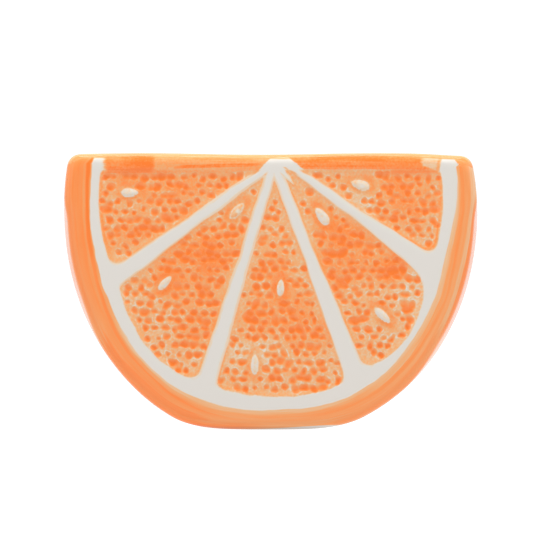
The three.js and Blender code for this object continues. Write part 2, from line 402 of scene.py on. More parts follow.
@dataclass(frozen=True)
class CutFace:
    """The cut face of the slice: pith, membranes, segments and seeds, seen from the front."""

    core_x: float = 1.8 * MM
    core_z: float = 96.8 * MM
    strip_z: float = 93.8 * MM
    strip_corner: float = 2 * MM
    smallest_corner: float = 0.8 * MM
    segment_middle: float = 42 * MM
    sink: float = 0.6 * MM
    seed_rise: float = 0.55 * MM
    unevenness: float = 0.2 * MM
    waver_across: Waver = Waver(17 * MM, 0.4)
    waver_up: Waver = Waver(15 * MM, 1.9)
    steady_below_strip: float = 8 * MM
    pith_unevenness: float = 0.15 * MM
    pith_waver: Waver = Waver(16 * MM, 5.2)
    pits_over_strip: float = 1.1 * MM
    pits_over_side: float = 0.7 * MM
    gathering: Gathering = Gathering()
    dry_brush: DryBrush = DryBrush()
    # Turn, spread, amount.
    creeps: tuple[Creep, ...] = (
        Creep(-2, 13, 1.15 * MM),
        Creep(60, 6, 0.6 * MM),
        Creep(130, 7, 0.35 * MM),
        Creep(149, 6, 0.4 * MM),
        Creep(158, 9, 0.35 * MM),
        Creep(173, 14, -1.5 * MM),
    )
    thorn: Thorn = Thorn(6.5 * MM, 90.4 * MM, -0.45, -1.3)
    pulp: Superellipse = Superellipse(0.7 * MM, 100.2 * MM, 62.1 * MM, 88.2 * MM, 2.56)
    pith: Superellipse = Superellipse(0.0, 95.2 * MM, 65.5 * MM, 88.1 * MM, 2.41)
    # Angle, start, width, flare, neck, place of the neck.
    membranes: tuple[Membrane, ...] = (
        Membrane(36, 0.4 * MM, 1.6 * MM, 0.054, 0.7 * MM, 38 * MM),
        Membrane(73, -0.5 * MM, 1.9 * MM, 0.043, 0.6 * MM, 38 * MM),
        Membrane(111, -1 * MM, 2 * MM, 0.05, 0.8 * MM),
        Membrane(144, 2.6 * MM, 0.6 * MM, 0.093, 1.3 * MM, 33 * MM),
    )
    # Inset, bow, corner before, corner after.
    segments: tuple[Segment, ...] = (
        Segment(-1.1 * MM, 2 * MM, 3 * MM, 5.5 * MM),
        Segment(-0.2 * MM, 1.6 * MM, 1 * MM, 5 * MM),
        Segment(-0.2 * MM, 1.9 * MM, 3 * MM, 4.5 * MM),
        Segment(-0.7 * MM, 4 * MM, 4.4 * MM, 6 * MM),
        Segment(0.2 * MM, 2.3 * MM, 5 * MM, 3 * MM),
    )
    # X, z, length, width, turn, taper, washed share.
    seeds: tuple[Seed, ...] = (
        Seed(-50.7 * MM, 85.2 * MM, 6.4 * MM, 3.2 * MM, 0, 0.25),
        Seed(-12.2 * MM, 78.6 * MM, 7.4 * MM, 3.2 * MM, 48, 0.1, 0.7),
        Seed(-38.1 * MM, 52.7 * MM, 6.8 * MM, 2.7 * MM, 47),
        Seed(3.5 * MM, 51 * MM, 6.2 * MM, 2.7 * MM, 86),
        Seed(-5.8 * MM, 23.4 * MM, 7.5 * MM, 2.8 * MM, 89),
        Seed(18.4 * MM, 76.7 * MM, 7.5 * MM, 3.6 * MM, -54, -0.25),
        Seed(32.2 * MM, 88 * MM, 7 * MM, 3.6 * MM, -17, -0.2, 0.2),
        Seed(40 * MM, 41.2 * MM, 7.7 * MM, 2.9 * MM, -44, 0.05),
    )

    @property
    def borders(self) -> tuple[float, ...]:
        """The segments' borders, in degrees down from the left."""
        return (0.0, *(membrane.angle for membrane in self.membranes), 180.0)

    def past_membrane(
        self, membrane: Membrane, x: np.ndarray, z: np.ndarray
    ) -> tuple[np.ndarray, np.ndarray]:
        """Measures points against a membrane.

        Args:
            membrane: The membrane.
            x: Places across the face.
            z: Heights.

        Returns:
            How far each point lies past the membrane's middle line, and its half width there.
        """
        angle = math.radians(membrane.angle)
        dx, dz = x - self.core_x - membrane.start, z - self.core_z
        along = -dx * math.cos(angle) - dz * math.sin(angle)
        across = dx * math.sin(angle) - dz * math.cos(angle)
        neck = membrane.neck * hump(along, membrane.neck_at, membrane.neck_length)
        return across, (membrane.width + membrane.flare * np.maximum(along, 0) - neck) / 2

    def inside_segment(
        self, x: np.ndarray, z: np.ndarray, top: float = 0.0, outer: float = 0.0
    ) -> np.ndarray:
        """Measures points against their segment's outline.

        Args:
            x: Places across the face.
            z: Heights.
            top: How far the outline is spread at the strip.
            outer: How far it is spread at the outer side.

        Returns:
            How far each point lies inside, negative on pith and membranes.
        """
        below = smooth_step(self.strip_z, self.strip_z - self.steady_below_strip, z)
        wobble_x = x + self.unevenness * self.waver_across.at(x, z)
        wobble_z = z + self.unevenness * self.waver_up.at(z, x) * below
        best = np.full_like(x, -1.0)
        for index in range(len(self.segments)):
            best = np.maximum(best, -self.segment_distance(index, wobble_x, wobble_z, top, outer))
        return np.minimum(best, -self.thorn.inside(x, z))

    def segment_distance(
        self, index: int, x: np.ndarray, z: np.ndarray, top: float, outer: float
    ) -> np.ndarray:
        """Measures points against one segment's outline.

        Args:
            index: Number of the segment, 0 at the left.
            x: Places across the face.
            z: Heights.
            top: How far the outline is spread at the strip.
            outer: How far it is spread at the outer side.

        Returns:
            Signed distances, negative inside.
        """
        segment = self.segments[index]
        before, after = self.borders[index], self.borders[index + 1]
        turn = np.degrees(np.arctan2(self.core_z - z, self.core_x - x))
        off = np.clip(2 * (turn - before) / (after - before) - 1, -1, 1)
        arc = self.pulp.distance(x, z) + segment.inset - outer + segment.bow * off**2
        share = np.minimum(np.hypot(x - self.core_x, z - self.core_z) / self.segment_middle, 1)
        distance = soft_max(arc, z - self.strip_z - top, self.strip_corner)
        if index > 0:
            across, half = self.past_membrane(self.membranes[index - 1], x, z)
            blend = np.maximum(segment.corner_before * share, self.smallest_corner)
            distance = soft_max(distance, half - across, blend)
        if index < len(self.membranes):
            across, half = self.past_membrane(self.membranes[index], x, z)
            blend = np.maximum(segment.corner_after * share, self.smallest_corner)
            distance = soft_max(distance, half + across, blend)
        return distance

    def past_pith(self, x: np.ndarray, z: np.ndarray) -> tuple[np.ndarray, np.ndarray]:
        """Measures points against the pith's outer edge.

        Args:
            x: Places across the face.
            z: Heights.

        Returns:
            How far each point lies past the edge, and its turn in degrees down from the left.
        """
        turn = np.degrees(np.arctan2(self.pith.centre_z - z, -x))
        past = self.pith.distance(x, z) + self.pith_unevenness * self.pith_waver.at(x, z)
        for creep in self.creeps:
            past = past + creep.amount * hump(turn, creep.turn, creep.spread)
        return past, turn

    def pooled(self, x: np.ndarray, z: np.ndarray) -> np.ndarray:
        """Finds where paint gathers: round the seeds, over some, and in the segments' grooves.

        Args:
            x: Places across the face.
            z: Heights.

        Returns:
            How much gathers at each point, from 0 to 1.
        """
        how = self.gathering
        ring = hump(self.inside_seed(x, z - how.drop), how.ring_at, how.ring_width)
        ring = ring * (how.ring_level + how.ring_swing * how.ring_waver.at(x, z))
        groove = hump(self.inside_segment(x, z), how.groove_at, how.groove_width)
        side = smooth_step(*how.side_x, np.abs(x)) * smooth_step(*how.side_z, z)
        uneven = how.groove_swing * how.groove_waver.at(x, z)
        groove = groove * (how.groove_level + how.side_level * side + uneven)
        pooled = np.clip(np.maximum(ring, groove), 0, 1)
        for seed in self.seeds:
            inside = seed.inside(x, z)
            film = smooth_step(*how.film_edge, inside) * (0.5 + 0.5 * how.film_waver.at(x, z))
            pooled = np.where(inside > 0, seed.washed * film, pooled)
        return pooled

    def ragged(self, x: np.ndarray, z: np.ndarray) -> np.ndarray:
        """Finds where the brush ran dry.

        Args:
            x: Places across the face.
            z: Heights.

        Returns:
            How ragged the paint's edge is at each point, from 0 to 1.
        """
        dry = self.dry_brush
        end = smooth_step(*dry.ends, self.pulp.distance(x, z)) * smooth_step(*dry.low, z)
        return np.clip(end * (dry.level + dry.swing * dry.waver.at(x, z)), 0, 1)

    def inside_pulp(self, x: np.ndarray, z: np.ndarray) -> np.ndarray:
        """How far points lie inside the field that the pits fill, which reaches past the segments."""
        return self.inside_segment(x, z, top=self.pits_over_strip, outer=self.pits_over_side)

    def inside_seed(self, x: np.ndarray, z: np.ndarray) -> np.ndarray:
        """How far points lie inside the nearest seed's outline, negative outside."""
        return np.max([seed.inside(x, z) for seed in self.seeds], axis=0)


@dataclass(frozen=True)
class PitField:
    """Pits pressed close together all over the pulp, mostly round, some drawn out or run together."""

    face: CutFace
    spacing: float = 3.5 * MM
    jitter: float = 0.78 * MM
    smallest: float = 1.05 * MM
    largest: float = 1.55 * MM
    patchiness: float = 0.14
    patches: Waver = Waver(27 * MM, 4.4)
    longest: float = 1.7
    melt: float = 0.55 * MM
    margin: float = 0.15 * MM
    loose_margin: float = 0.45 * MM
    looseness: Waver = Waver(41 * MM, 1.7)
    seed_gap: float = 0.25 * MM
    depth: float = 0.32 * MM
    rim: float = 0.07 * MM
    warp: float = 0.3 * MM
    warp_across: Waver = Waver(5.3 * MM, 2.2)
    warp_up: Waver = Waver(4.7 * MM, 0.3)
    field_height: float = 100 * MM
    columns_each_way: int = 24
    points_at_once: int = 4000
    random_seed: int = 11

    def pits(self) -> np.ndarray:
        """Sets out the pits.

        Returns:
            One row for each pit: x, z, half width, length over width, turn in radians and a
            shade between 0 and 1.
        """
        draw = np.random.default_rng(self.random_seed)
        row_height = self.spacing * math.sin(math.pi / 3)
        rows = []
        for row in range(int(self.field_height / row_height)):
            for column in range(-self.columns_each_way, self.columns_each_way + 1):
                shift = draw.uniform(-self.jitter, self.jitter, 2)
                half = draw.uniform(self.smallest, self.largest)
                stretch = 1 + (self.longest - 1) * draw.uniform() ** 2
                turn, shade, loose = draw.uniform(0, 1, 3)
                x = (column + row % 2 / 2) * self.spacing + shift[0]
                z = row * row_height + shift[1]
                place = np.array([x]), np.array([z])
                half *= 1 + self.patchiness * self.patches.at(*place)[0]
                slack = 0.5 + 0.5 * self.looseness.at(*place)[0]
                room = half + self.margin + self.loose_margin * (slack + loose**2)
                in_pulp = self.face.inside_pulp(*place)[0] >= room
                if in_pulp and -self.face.inside_seed(*place)[0] >= half + self.seed_gap:
                    rows.append((x, z, half, stretch, 4 * math.pi * (turn - 0.5) ** 3, shade))
        return np.array(rows)

    def measure(self, x: np.ndarray, z: np.ndarray) -> tuple[np.ndarray, np.ndarray, np.ndarray]:
        """Measures points against the pits.

        Args:
            x: Places across the face.
            z: Heights.

        Returns:
            How far each point lies inside a pit's edge, its height in the pit from -1 to 1,
            and the pit's shade.
        """
        pits = self.pits()
        x, z = x + self.warp * self.warp_across.at(x, z), z + self.warp * self.warp_up.at(z, x)
        inside, rise, shade = np.empty_like(x), np.empty_like(x), np.empty_like(x)
        half, stretch, turn = pits[:, 2], pits[:, 3], pits[:, 4]
        for part in np.array_split(np.arange(len(x)), max(1, len(x) // self.points_at_once)):
            dx = x[part, None] - pits[None, :, 0]
            dz = z[part, None] - pits[None, :, 1]
            along = (dx * np.cos(turn) + dz * np.sin(turn)) / stretch
            across = dz * np.cos(turn) - dx * np.sin(turn)
            into = half - np.hypot(along, across)
            best = into.argmax(axis=1)
            take = np.arange(len(part))
            nearest = into[take, best]
            into[take, best] = -1
            inside[part] = soft_max(nearest, into.max(axis=1), self.melt)
            rise[part] = dz[take, best] / half[best]
            shade[part] = pits[best, 5]
        return inside, np.clip(rise, -1, 1), shade


class Axis(Enum):
    """One of the block's directions, by its place in a vector."""

    ACROSS = 0
    THROUGH = 1
    UP = 2


@dataclass(frozen=True)
class Relief:
    """Over which distances from their outlines the forms of the cut face sink, swell and rise."""

    sink_edge: tuple[float, float] = (-0.5 * MM, 2.6 * MM)
    swell: float = 0.2 * MM
    swell_edge: tuple[float, float] = (2 * MM, 9 * MM)
    pulp_edge: tuple[float, float] = (0.4 * MM, 1.3 * MM)
    segment_edge: tuple[float, float] = (-0.2 * MM, 0.9 * MM)
    pit_edge: tuple[float, float] = (-0.15 * MM, 0.95 * MM)
    pit_rim_at: float = -0.3 * MM
    pit_rim_width: float = 0.3 * MM
    moat: float = 0.12 * MM
    moat_at: float = -0.5 * MM
    moat_width: float = 0.5 * MM
    seed_edge: tuple[float, float] = (-0.15 * MM, 0.95 * MM)
    far_off: float = -5 * MM
    far_off_seed: float = -9 * MM


@dataclass(frozen=True)
class Settling:
    """How the top edge settled out of true while the clay was soft."""

    reach: tuple[float, float] = (14 * MM, 1 * MM)
    sinking: float = 0.27 * MM
    wave: float = 0.27 * MM
    wave_crest: float = -46 * MM
    wave_length: float = 84 * MM
    droop: float = 0.55 * MM
    droop_x: tuple[float, float] = (50 * MM, 72 * MM)
    shoulder: float = 0.5 * MM
    shoulder_x: tuple[float, float] = (66 * MM, 74 * MM)
    shoulder_z: tuple[float, float] = (74 * MM, 96 * MM)

    def settle(self, x: np.ndarray, z: np.ndarray, height: float) -> tuple[np.ndarray, np.ndarray]:
        """Moves points near the top.

        Args:
            x: Places across the face.
            z: Heights.
            height: Height of the body.

        Returns:
            The moved x and z.
        """
        up = smooth_step(height - self.reach[0], height - self.reach[1], z)
        wave = self.wave * np.cos(2 * math.pi * (x - self.wave_crest) / self.wave_length)
        z = z + (wave - self.sinking - self.droop * smooth_step(*self.droop_x, x)) * up
        shoulder = smooth_step(*self.shoulder_x, x) * smooth_step(*self.shoulder_z, z)
        return x - self.shoulder * shoulder, z


@dataclass
class GlazedSlice:
    """The slip-cast body: its fine mesh and the measures that its paint follows."""

    form: BodyForm
    face: CutFace
    pits: PitField
    relief: Relief = Relief()
    settling: Settling = Settling()
    columns: int = 98
    rows: int = 65
    refine_cuts: int = 2
    refine_margin: float = 1.1 * MM
    along_axis: float = 0.9
    face_slack: float = 0.1 * MM
    point_slack: float = 0.01 * MM
    rind_edge: tuple[float, float] = (-2 * MM, 0.5 * MM)
    over_top_edge: float = 0.5 * MM
    body: bpy.types.Object | None = field(default=None, init=False)

    def build(self) -> bpy.types.Object:
        """Makes the whole piece.

        Returns:
            The finished mesh object, at the origin.
        """
        self.add_block()
        self.cut_block()
        self.draw_in()
        self.refine_face()
        self.press_relief()
        bpy.ops.object.select_all(action="DESELECT")
        self.body.select_set(True)
        bpy.context.view_layer.objects.active = self.body
        bpy.ops.object.shade_smooth()
        return self.body

    def add_block(self) -> None:
        """Adds a plain block of the body's size and puts its place in its mesh."""
        bpy.ops.object.select_all(action="DESELECT")
        size = (self.form.width, self.form.depth, self.form.height)
        bpy.ops.mesh.primitive_cube_add(size=1, location=self.form.middle, scale=size)
        self.body = bpy.context.active_object
        self.body.name = PIECE
        self.body.data.name = PIECE
        bpy.ops.object.transform_apply(location=True, rotation=True, scale=True)

    def cut_edges_along(self, axis: Axis, parts: int) -> None:
        """Cuts every edge that runs along one axis into equal parts.

        Args:
            axis: Direction of the edges.
            parts: Number of parts.
        """
        mesh = bmesh.from_edit_mesh(self.body.data)
        for edge in mesh.edges:
            run = edge.verts[1].co - edge.verts[0].co
            edge.select_set(abs(run[axis.value]) > self.along_axis * run.length)
        bmesh.update_edit_mesh(self.body.data)
        bpy.ops.mesh.subdivide(number_cuts=parts - 1)
        bpy.ops.mesh.select_all(action="DESELECT")

    def cut_block(self) -> None:
        """Cuts the block into columns, rows and the levels of the wall."""
        bpy.ops.object.mode_set(mode="EDIT")
        bpy.ops.mesh.select_mode(type="EDGE")
        bpy.ops.mesh.select_all(action="DESELECT")
        self.cut_edges_along(Axis.ACROSS, self.columns)
        self.cut_edges_along(Axis.UP, self.rows)
        self.cut_edges_along(Axis.THROUGH, self.form.levels)
        bpy.ops.object.mode_set(mode="OBJECT")

    def points(self) -> np.ndarray:
        """Reads the mesh's vertices.

        Returns:
            One row of x, y and z for each.
        """
        found = np.empty(len(self.body.data.vertices) * 3)
        self.body.data.vertices.foreach_get("co", found)
        return found.reshape(-1, 3)

    def move(self, points: np.ndarray) -> None:
        """Writes the mesh's vertices back, from rows of x, y and z."""
        self.body.data.vertices.foreach_set("co", points.ravel())
        self.body.data.update()

    def draw_in(self) -> None:
        """Draws the block in to the slice's outline, level by level."""
        points = self.points()
        x, y, z = points.T
        half_height = self.form.height / 2
        level = np.round((y / self.form.depth + 0.5) * self.form.levels)
        y, bulge, edge, travelled = self.form.profile(level)
        up = z - half_height
        angle = np.arctan2(up, x)
        share = np.maximum(np.abs(x) / (self.form.width / 2), np.abs(up) / half_height)
        radius = share * self.form.radius(angle, bulge, edge)
        x, z = radius * np.cos(angle), half_height + radius * np.sin(angle)
        self.move(np.stack([x, y, z], axis=1))
        self.keep("travelled", travelled / MM)

    def keep(self, name: str, values: np.ndarray) -> None:
        """Stores one measure on every vertex.

        Args:
            name: Name of the attribute.
            values: One value for each vertex.
        """
        attributes = self.body.data.attributes
        if name in attributes:
            attributes.remove(attributes[name])
        attributes.new(name, "FLOAT", "POINT").data.foreach_set("value", values.astype(np.float32))

    def kept(self, name: str) -> np.ndarray:
        """Reads a stored measure back.

        Args:
            name: Name of the attribute.

        Returns:
            One value for each vertex.
        """
        values = np.empty(len(self.body.data.vertices), np.float32)
        self.body.data.attributes[name].data.foreach_get("value", values)
        return values.astype(float)

    def refine_face(self) -> None:
        """Cuts the faces in and round the segments finer, where the relief will be."""
        mesh = self.body.data
        centres = np.empty(len(mesh.polygons) * 3)
        mesh.polygons.foreach_get("center", centres)
        x, y, z = centres.reshape(-1, 3).T
        on_face = np.abs(y) > self.form.depth / 2 - self.face_slack
        chosen = on_face & (self.face.inside_segment(x, z) > -self.refine_margin)
        bpy.ops.object.mode_set(mode="EDIT")
        bpy.ops.mesh.select_mode(type="FACE")
        bpy.ops.mesh.select_all(action="DESELECT")
        bpy.ops.object.mode_set(mode="OBJECT")
        mesh.polygons.foreach_set("select", chosen)
        bpy.ops.object.mode_set(mode="EDIT")
        bpy.ops.mesh.subdivide(number_cuts=self.refine_cuts)
        bpy.ops.mesh.select_all(action="DESELECT")
        bpy.ops.mesh.select_face_by_sides(number=4, type="GREATER")
        bpy.ops.mesh.quads_convert_to_tris()
        bpy.ops.object.mode_set(mode="OBJECT")

    def press_relief(self) -> None:
        """Presses segments and pits into both faces, raises the seeds and stores the measures."""
        points = self.points()
        x, y, z = points.T
        face, form, relief = self.face, self.form, self.relief
        on_face = np.abs(y) > form.depth / 2 - self.point_slack
        segment = face.inside_segment(x, z)
        seed = face.inside_seed(x, z)
        pit, rise, shade = self.pits.measure(x, z)
        sunk = face.sink * smooth_step(*relief.sink_edge, segment)
        swell = relief.swell * smooth_step(*relief.swell_edge, segment)
        within = face.inside_pulp(x, z)
        in_pulp = smooth_step(*relief.pulp_edge, within) * smooth_step(*relief.segment_edge, segment)
        pressed = self.pits.depth * smooth_step(*relief.pit_edge, pit) * in_pulp
        rim = self.pits.rim * hump(pit, relief.pit_rim_at, relief.pit_rim_width) * in_pulp
        moat = relief.moat * hump(seed, relief.moat_at, relief.moat_width)
        raised = face.seed_rise * smooth_step(*relief.seed_edge, seed)
        depth = sunk - swell + pressed - rim + moat - raised
        y = np.where(on_face, y - np.sign(y) * depth, y)
        x, z = self.settling.settle(x, z, form.height)
        self.move(np.stack([x, y, z], axis=1))
        self.keep("segment_mm", np.where(on_face, segment, relief.far_off) / MM)
        self.keep("pulp_mm", within / MM)
        self.keep("seed_mm", np.where(on_face, seed, relief.far_off_seed) / MM)
        self.keep("pit_mm", np.where(on_face, pit, relief.far_off) / MM)
        self.keep("pit_rise", rise)
        self.keep("pit_shade", shade)
        self.keep("pooled", np.where(on_face, face.pooled(x, z), 0))
        self.keep("ragged", face.ragged(x, z))
        self.keep_rind_measures(x, z)
        LOG.info("relief on %d vertices, %d pits on each face", len(x), len(self.pits.pits()))

    def keep_rind_measures(self, x: np.ndarray, z: np.ndarray) -> None:
        """Stores how far each vertex lies along and across the rind and the strip.

        Args:
            x: Places of the vertices across the face.
            z: Their heights.
        """
        travelled = self.kept("travelled")
        past, turn = self.face.past_pith(x, z)
        self.keep("rind_mm", past / MM + travelled * smooth_step(*self.rind_edge, past))
        self.keep("rind_turn", turn)
        rim_z, strip_z = self.form.height - self.form.edge_round, self.face.strip_z
        over_top = smooth_step(rim_z - self.over_top_edge, rim_z, z) * travelled
        self.keep("top_mm", np.minimum(z - strip_z, rim_z - strip_z) / MM + over_top)


def srgb(red: float, green: float, blue: float) -> tuple[float, float, float, float]:
    """Turns a screen colour into the linear colour that shaders take, by the sRGB curve.

    Args:
        red: Red from 0 to 255.
        green: Green.
        blue: Blue.

    Returns:
        The linear colour, opaque.
    """
    values = [channel / 255 for channel in (red, green, blue)]
    linear = [v / 12.92 if v <= 0.04045 else ((v + 0.055) / 1.055) ** 2.4 for v in values]
    return (*linear, 1.0)


@dataclass(frozen=True)
class Ramp:
    """A smooth rise of the result from start to end while a value goes from low to high."""

    low: float
    high: float
    start: float = 0.0
    end: float = 1.0


@dataclass(frozen=True)
class Clouds:
    """A cloudy noise: how fine it is, for each metre, how detailed and how rough."""

    scale: float
    detail: float = 2.0
    rough: float = 0.5


@dataclass(frozen=True)
class Hairs:
    """Lines that a brush's hairs leave: how close they lie, and how fast they change on their way."""

    fineness: float
    stretch: float


class Sheet:
    """Lays out the nodes of one tree by short calls that take numbers or sockets."""

    def __init__(self, tree: bpy.types.NodeTree) -> None:
        """Starts on a tree."""
        self.tree = tree

    def add(self, kind: str, inputs: dict | None = None, **settings: object) -> bpy.types.Node:
        """Adds a node.

        Args:
            kind: Blender's name of the node's type.
            inputs: Sockets or plain values by the input's name or number.
            **settings: Properties of the node.

        Returns:
            The node.
        """
        node = self.tree.nodes.new(kind)
        for name, value in settings.items():
            setattr(node, name, value)
        for name, value in (inputs or {}).items():
            self.feed(node.inputs[name], value)
        return node

    def feed(self, socket: Socket, value: Value | tuple) -> None:
        """Links a socket to an input, or sets the input to a plain value.

        Args:
            socket: The input.
            value: The socket or the plain value.
        """
        if isinstance(value, Socket):
            self.tree.links.new(value, socket)
        else:
            socket.default_value = value

    def math(self, operation: str, a: Value, b: Value = 0.0, clamp: bool = False) -> Socket:
        """Adds a sum, product or other step of arithmetic."""
        return self.add("ShaderNodeMath", {0: a, 1: b}, operation=operation, use_clamp=clamp).outputs[0]

    def plus(self, a: Value, b: Value) -> Socket:
        """Adds two values."""
        return self.math("ADD", a, b)

    def minus(self, a: Value, b: Value) -> Socket:
        """Takes the second value from the first."""
        return self.math("SUBTRACT", a, b)

    def times(self, a: Value, b: Value) -> Socket:
        """Multiplies two values."""
        return self.math("MULTIPLY", a, b)

    def between(self, value: Value, low: Value, high: Value, start: Value = 0.0, end: Value = 1.0) -> Socket:
        """Adds a smooth rise.

        Args:
            value: What the rise follows.
            low: Value where it begins.
            high: Value where it ends.
            start: Result up to its beginning.
            end: Result from its end on.

        Returns:
            The result.
        """
        inputs = {"Value": value, "From Min": low, "From Max": high, "To Min": start, "To Max": end}
        return self.add("ShaderNodeMapRange", inputs, interpolation_type="SMOOTHSTEP").outputs[0]

    def rise(self, value: Value, ramp: Ramp) -> Socket:
        """Adds a smooth rise by its ramp."""
        return self.between(value, ramp.low, ramp.high, ramp.start, ramp.end)

    def swing(self, value: Value, amount: Value) -> Socket:
        """Centres a value that goes from 0 to 1, and scales it by an amount."""
        return self.times(self.minus(value, 0.5), amount)

    def blend(self, a: Value, b: Value, share: Value) -> Socket:
        """Goes from value a to value b as share goes from 0 to 1."""
        return self.add("ShaderNodeMix", {0: share, 2: a, 3: b}, data_type="FLOAT").outputs[0]

    def measure(self, name: str) -> Socket:
        """Reads a measure stored on the mesh."""
        return self.add("ShaderNodeAttribute", attribute_name=name).outputs["Fac"]

    def place(self) -> Socket:
        """Gives the place on the object, in metres."""
        return self.add("ShaderNodeTexCoord").outputs["Object"]

    def vector(self, x: Value = 0.0, y: Value = 0.0, z: Value = 0.0) -> Socket:
        """Joins three values into a vector."""
        return self.add("ShaderNodeCombineXYZ", {0: x, 1: y, 2: z}).outputs[0]

    def noise(self, vector: Socket, clouds: Clouds) -> Socket:
        """Adds cloudy noise.

        Args:
            vector: Where it is taken.
            clouds: How fine, detailed and rough it is.

        Returns:
            The noise, between about 0 and 1.
        """
        scale, detail, rough = clouds.scale, clouds.detail, clouds.rough
        inputs = {"Vector": vector, "Scale": scale, "Detail": detail, "Roughness": rough}
        return self.add("ShaderNodeTexNoise", inputs).outputs["Fac"]

    def use(self, group: bpy.types.NodeTree, **inputs: Value) -> Socket:
        """Places a node group.

        Args:
            group: The group.
            **inputs: Sockets or plain values by the input's name, with _ for a space.

        Returns:
            The group's first output.
        """
        node = self.add("ShaderNodeGroup", node_tree=group)
        for name, value in inputs.items():
            self.feed(node.inputs[name.replace("_", " ")], value)
        return node.outputs[0]


def new_group(
    name: str, inputs: dict[str, float], output: str
) -> tuple[Sheet, dict[str, Socket], bpy.types.Node]:
    """Starts a shader node group with named float inputs and one float output.

    Args:
        name: Name of the group.
        inputs: Default value by input name.
        output: Name of the output.

    Returns:
        The sheet to draw on, the inputs' sockets by name, and the output node.
    """
    tree = bpy.data.node_groups.new(name, "ShaderNodeTree")
    for label, value in inputs.items():
        socket = tree.interface.new_socket(label, in_out="INPUT", socket_type="NodeSocketFloat")
        socket.default_value = value
    tree.interface.new_socket(output, in_out="OUTPUT", socket_type="NodeSocketFloat")
    sheet = Sheet(tree)
    entry = sheet.add("NodeGroupInput")
    sockets = {label: entry.outputs[label] for label in inputs}
    return sheet, sockets, sheet.add("NodeGroupOutput")


@dataclass
class BrushGroups:
    """The node groups that every painted finish shares."""

    line_clouds: Clouds = Clouds(1.0, 3.0, 0.6)
    line_contrast: Ramp = Ramp(0.25, 0.75)
    side_sway: float = 0.15
    lines: bpy.types.NodeTree = field(init=False)
    edge: bpy.types.NodeTree = field(init=False)
    stroke: bpy.types.NodeTree = field(init=False)

    def __post_init__(self) -> None:
        """Builds the groups once."""
        self.lines = self.make_lines()
        self.edge = self.make_edge()
        self.stroke = self.make_stroke()

    def make_lines(self) -> bpy.types.NodeTree:
        """Makes the fine parallel lines that the hairs of a brush leave, from 0 to 1.

        Returns:
            The group.
        """
        sheet, at, end = new_group(
            "Brush lines",
            {"Run": 0.0, "Across": 0.0, "Layer": 0.0, "Fineness": 1.0, "Stretch": 0.05},
            "Lines",
        )
        long = sheet.times(at["Run"], at["Stretch"])
        fine = sheet.times(at["Across"], at["Fineness"])
        vector = sheet.vector(long, fine, at["Layer"])
        coarse = sheet.noise(vector, self.line_clouds)
        sheet.feed(end.inputs[0], sheet.rise(coarse, self.line_contrast))
        return sheet.tree

    def make_edge(self) -> bpy.types.NodeTree:
        """Makes the edge of a painted field, ragged where the brush ran dry.

        Returns:
            The group.
        """
        sheet, at, end = new_group(
            "Painted edge",
            {"Inside": 0.0, "Ragged": 0.2, "Soft": 0.15, "Hairs": 0.5},
            "Mask",
        )
        shift = sheet.swing(at["Hairs"], at["Ragged"])
        moved = sheet.plus(at["Inside"], shift)
        low = sheet.times(at["Soft"], -1.0)
        sheet.feed(end.inputs[0], sheet.between(moved, low, at["Soft"]))
        return sheet.tree

    def make_stroke(self) -> bpy.types.NodeTree:
        """Makes one brush stroke, from Start to End along Run and from Low to High across it.

        Returns:
            The group.
        """
        sheet, at, end = new_group(
            "Brush stroke",
            {
                "Run": 0.0,
                "Across": 0.0,
                "Start": 0.0,
                "End": 1.0,
                "Low": 0.0,
                "High": 1.0,
                "Soft Ends": 1.0,
                "Soft Sides": 0.3,
                "Hairs": 0.5,
                "Ragged": 1.0,
            },
            "Mask",
        )
        shift = sheet.swing(at["Hairs"], at["Ragged"])
        run = sheet.plus(at["Run"], shift)
        across = sheet.plus(at["Across"], sheet.times(shift, self.side_sway))
        parts = (
            sheet.between(sheet.minus(run, at["Start"]), 0.0, at["Soft Ends"]),
            sheet.between(sheet.minus(at["End"], run), 0.0, at["Soft Ends"]),
            sheet.between(sheet.minus(across, at["Low"]), 0.0, at["Soft Sides"]),
            sheet.between(sheet.minus(at["High"], across), 0.0, at["Soft Sides"]),
        )
        ends = sheet.times(parts[0], parts[1])
        sides = sheet.times(parts[2], parts[3])
        sheet.feed(end.inputs[0], sheet.times(ends, sides))
        return sheet.tree


@dataclass(frozen=True)
class Stroke:
    """One laid stroke: where it runs in degrees or millimetres, and how much paint it leaves.

    It covers what lies under it by its cover, with soft and ragged ends and soft sides. Its ends
    may slant, by so much run for each millimetre across, and it may rise as it runs.
    """

    start: float
    end: float
    low: float
    high: float
    load: float
    cover: float = 1.0
    soft_ends: float = 3.0
    soft_sides: float = 0.8
    ragged: float = 3.0
    slant: float = 0.0
    rise: float = 0.0


@dataclass(frozen=True)
class Pool:
    """A place where the pulp is painted more heavily, in millimetres."""

    x: float
    z: float
    reach_x: float
    reach_z: float
    load: float


@dataclass(frozen=True)
class RindBrush:
    """How the brush left the rind's paint: its hairs, its wavy inner edge and its turn at the top."""

    hairs: Hairs = Hairs(1.1, 0.05)
    hairs_load: float = 0.09
    wide: Hairs = Hairs(0.35, 0.03)
    wide_load: float = 0.15
    waves: Clouds = Clouds(130.0)
    waves_share: float = 0.6
    turned_over: Ramp = Ramp(0.6, 2.2, 0.0, 2.4)
    turned_beyond: Ramp = Ramp(58.0, 61.0)
    ragged: float = 1.5
    soft: float = 0.25


@dataclass(frozen=True)
class StripBrush:
    """How the brush left the paint on the strip and over the top, paler over the top edge as a painted
    highlight.
    """

    hairs: Hairs = Hairs(1.4, 0.06)
    hairs_share: float = 0.35
    grain: Clouds = Clouds(1100.0, 2.0, 0.6)
    top_edge: Ramp = Ramp(3.6, 5.2)
    # Paint paler over the upper rounding of the top edge, a painted highlight along the edge; the back ramp
    # brings the top itself back to a plain load.
    top_load_and_edge_highlight: Ramp = Ramp(4.6, 6.2, 0.72, 0.44)
    top_back: Ramp = Ramp(6.5, 9.0, 0.0, 0.16)
    top_hairs: float = 0.14
    over_edge: Ramp = Ramp(4.6, 6.0)
    lower_edge: Ramp = Ramp(-1.8, -1.2)


